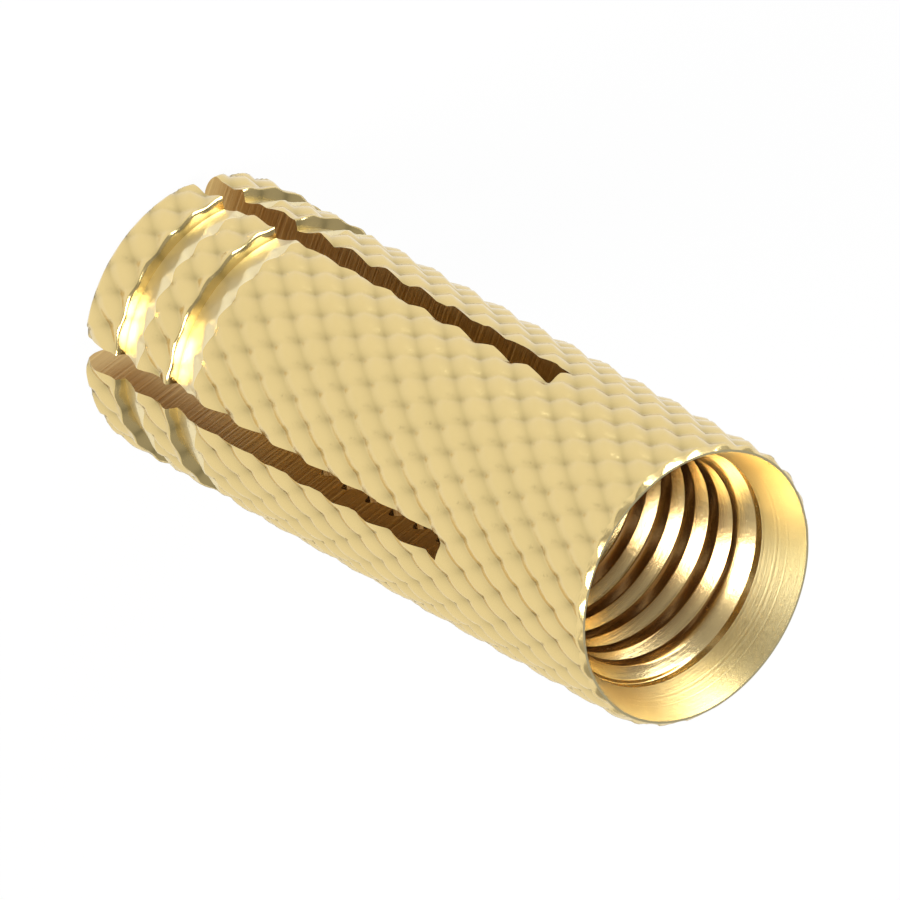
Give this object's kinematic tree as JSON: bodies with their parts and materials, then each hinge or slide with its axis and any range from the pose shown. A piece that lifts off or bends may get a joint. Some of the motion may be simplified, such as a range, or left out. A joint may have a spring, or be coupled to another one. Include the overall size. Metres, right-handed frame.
{
  "type": "threaded insert",
  "caption": "One-piece brass expansion insert: metric internal thread, countersunk mouth, diamond-knurled outside, turned grooves and saw slots at the far end.",
  "frame": {"origin": "centre of the sawn end, which the insert stands on", "axes": "+Z along the axis, out of the threaded mouth; the saw slots open towards +X, -X, +Y and -Y"},
  "size_m": [0.0122, 0.0122, 0.032],
  "materials": {
    "brass": "plain turned and knurled brass, softly bright on the crests, satin in the valleys"
  },
  "bodies": {
    "root": {"insert_body": "brass"}
  },
  "joints": []
}
